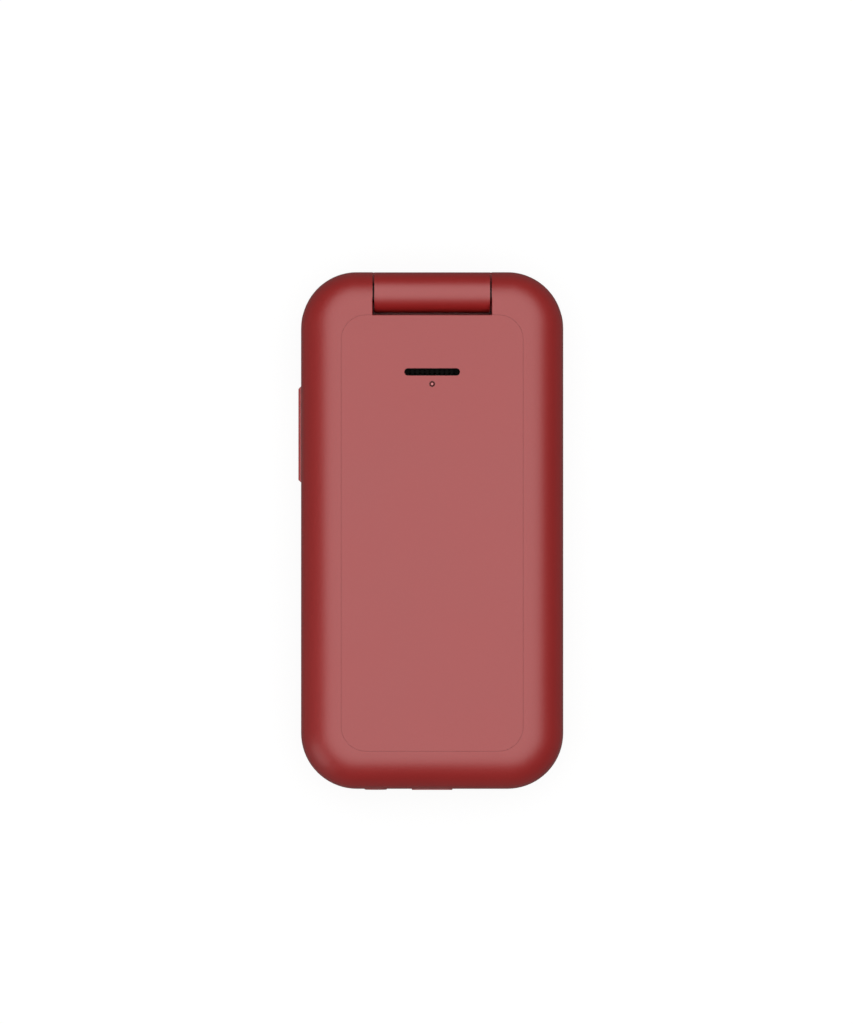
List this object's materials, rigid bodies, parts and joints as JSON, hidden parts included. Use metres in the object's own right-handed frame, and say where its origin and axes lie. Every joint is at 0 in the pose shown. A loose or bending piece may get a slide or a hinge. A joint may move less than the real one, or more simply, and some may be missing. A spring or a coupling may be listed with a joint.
{
  "type": "flip phone",
  "caption": "Closed clamshell mobile phone in satin red with an inset front panel, a centre hinge barrel, keypad and display inside, and a lift-off battery cover.",
  "frame": {"origin": "middle of the flat back face, on which the closed phone lies", "axes": "+X to the phone's right as seen from its front with the hinge at the top, +Y from the free end to the hinge end, +Z from the back out through the lid"},
  "size_m": [0.0541, 0.1058, 0.0186],
  "materials": {
    "red_shell": "satin red paint on moulded plastic",
    "red_panel": "satin red paint on moulded plastic",
    "window": "clear window, dark from behind",
    "display_glass": "dark glass",
    "sheet_steel": "bright sheet metal",
    "steel": "turned steel",
    "circuit_board": "green lacquer",
    "black_plastic": "matt black",
    "black_mesh": "woven black mesh",
    "clear_plastic": "clear moulding",
    "black_rubber": "matt rubber",
    "grey_rubber": "silicone rubber",
    "flex_film": "amber polyimide film",
    "battery_case": "printed wrap over an aluminium cell",
    "gold_contacts": "gold plated",
    "black_keys": "satin black",
    "ok_key": "semi-gloss black"
  },
  "bodies": {
    "base": {"keypad_cover": "red_shell", "rear_housing": "red_shell", "battery": "battery_case", "main_board": "circuit_board", "shield_can": "sheet_steel", "dome_sheet": "sheet_steel", "keymat": "grey_rubber", "usb_connector": "sheet_steel", "audio_jack": "black_plastic", "card_holders": "sheet_steel", "battery_contacts": "gold_contacts", "vibration_motor": "steel", "microphone": "gold_contacts", "camera_module": "black_plastic", "camera_window": "window", "torch_led": "clear_plastic", "side_switches": "steel", "base_screws": "steel", "hinge_capsule": "steel", "hinge_flex": "flex_film", "antenna": "flex_film"},
    "lid": {"lid_cover": "red_shell", "lid_panel": "red_panel", "display_bezel": "red_shell", "display_window": "window", "display_module": "display_glass", "display_frame": "sheet_steel", "lid_board": "circuit_board", "loudspeaker": "black_plastic", "speaker_mesh": "black_mesh", "status_light_pipe": "clear_plastic", "earpiece": "black_plastic", "earpiece_mesh": "black_mesh", "lid_bumpers": "black_rubber", "lid_screws": "steel", "lid_screw_caps": "red_shell", "lid_magnet": "steel", "hinge_cam": "steel", "hinge_sleeve": "steel", "display_flex": "flex_film"},
    "battery_cover": {"battery_cover": "red_shell"},
    "volume_key": {"volume_key": "red_shell"},
    "key_1": {"key_1": "black_keys"},
    "key_2": {"key_2": "black_keys"},
    "key_3": {"key_3": "black_keys"},
    "key_4": {"key_4": "black_keys"},
    "key_5": {"key_5": "black_keys"},
    "key_6": {"key_6": "black_keys"},
    "key_7": {"key_7": "black_keys"},
    "key_8": {"key_8": "black_keys"},
    "key_9": {"key_9": "black_keys"},
    "key_star": {"key_star": "black_keys"},
    "key_0": {"key_0": "black_keys"},
    "key_hash": {"key_hash": "black_keys"},
    "key_soft_left": {"key_soft_left": "black_keys"},
    "key_soft_right": {"key_soft_right": "black_keys"},
    "key_call": {"key_call": "black_keys"},
    "key_end": {"key_end": "black_keys"},
    "key_ring": {"key_ring": "black_keys"},
    "key_ok": {"key_ok": "ok_key"}
  },
  "joints": [
    {"name": "lid_hinge", "type": "hinge", "parent": "base", "child": "lid", "pos_m": [0, 0.0484, 0.0143], "axis": [-1, 0, 0], "range_deg": [0, 160]},
    {"name": "battery_cover_lift", "type": "slide", "parent": "base", "child": "battery_cover", "axis": [0, 0, -1], "range_m": [0, 0.012]},
    {"name": "volume_rocker", "type": "hinge", "parent": "base", "child": "volume_key", "pos_m": [-0.02485, 0.01965, 0.00505], "axis": [0, 0, 1], "range_deg": [-1.3, 1.3], "stiffness_Nm_per_rad": 0.05},
    {"name": "press_1", "type": "slide", "parent": "base", "child": "key_1", "axis": [0, 0, -1], "range_m": [0, 0.0003], "stiffness_N_per_m": 100, "springref_m": -0.0002},
    {"name": "press_2", "type": "slide", "parent": "base", "child": "key_2", "axis": [0, 0, -1], "range_m": [0, 0.0003], "stiffness_N_per_m": 100, "springref_m": -0.0002},
    {"name": "press_3", "type": "slide", "parent": "base", "child": "key_3", "axis": [0, 0, -1], "range_m": [0, 0.0003], "stiffness_N_per_m": 100, "springref_m": -0.0002},
    {"name": "press_4", "type": "slide", "parent": "base", "child": "key_4", "axis": [0, 0, -1], "range_m": [0, 0.0003], "stiffness_N_per_m": 100, "springref_m": -0.0002},
    {"name": "press_5", "type": "slide", "parent": "base", "child": "key_5", "axis": [0, 0, -1], "range_m": [0, 0.0003], "stiffness_N_per_m": 100, "springref_m": -0.0002},
    {"name": "press_6", "type": "slide", "parent": "base", "child": "key_6", "axis": [0, 0, -1], "range_m": [0, 0.0003], "stiffness_N_per_m": 100, "springref_m": -0.0002},
    {"name": "press_7", "type": "slide", "parent": "base", "child": "key_7", "axis": [0, 0, -1], "range_m": [0, 0.0003], "stiffness_N_per_m": 100, "springref_m": -0.0002},
    {"name": "press_8", "type": "slide", "parent": "base", "child": "key_8", "axis": [0, 0, -1], "range_m": [0, 0.0003], "stiffness_N_per_m": 100, "springref_m": -0.0002},
    {"name": "press_9", "type": "slide", "parent": "base", "child": "key_9", "axis": [0, 0, -1], "range_m": [0, 0.0003], "stiffness_N_per_m": 100, "springref_m": -0.0002},
    {"name": "press_star", "type": "slide", "parent": "base", "child": "key_star", "axis": [0, 0, -1], "range_m": [0, 0.0003], "stiffness_N_per_m": 100, "springref_m": -0.0002},
    {"name": "press_0", "type": "slide", "parent": "base", "child": "key_0", "axis": [0, 0, -1], "range_m": [0, 0.0003], "stiffness_N_per_m": 100, "springref_m": -0.0002},
    {"name": "press_hash", "type": "slide", "parent": "base", "child": "key_hash", "axis": [0, 0, -1], "range_m": [0, 0.0003], "stiffness_N_per_m": 100, "springref_m": -0.0002},
    {"name": "press_soft_left", "type": "slide", "parent": "base", "child": "key_soft_left", "axis": [0, 0, -1], "range_m": [0, 0.0003], "stiffness_N_per_m": 100, "springref_m": -0.0002},
    {"name": "press_soft_right", "type": "slide", "parent": "base", "child": "key_soft_right", "axis": [0, 0, -1], "range_m": [0, 0.0003], "stiffness_N_per_m": 100, "springref_m": -0.0002},
    {"name": "press_call", "type": "slide", "parent": "base", "child": "key_call", "axis": [0, 0, -1], "range_m": [0, 0.0003], "stiffness_N_per_m": 100, "springref_m": -0.0002},
    {"name": "press_end", "type": "slide", "parent": "base", "child": "key_end", "axis": [0, 0, -1], "range_m": [0, 0.0003], "stiffness_N_per_m": 100, "springref_m": -0.0002},
    {"name": "press_ring", "type": "slide", "parent": "base", "child": "key_ring", "axis": [0, 0, -1], "range_m": [0, 0.0003], "stiffness_N_per_m": 100, "springref_m": -0.0002},
    {"name": "press_ok", "type": "slide", "parent": "base", "child": "key_ok", "axis": [0, 0, -1], "range_m": [0, 0.0003], "stiffness_N_per_m": 100, "springref_m": -0.0002}
  ]
}
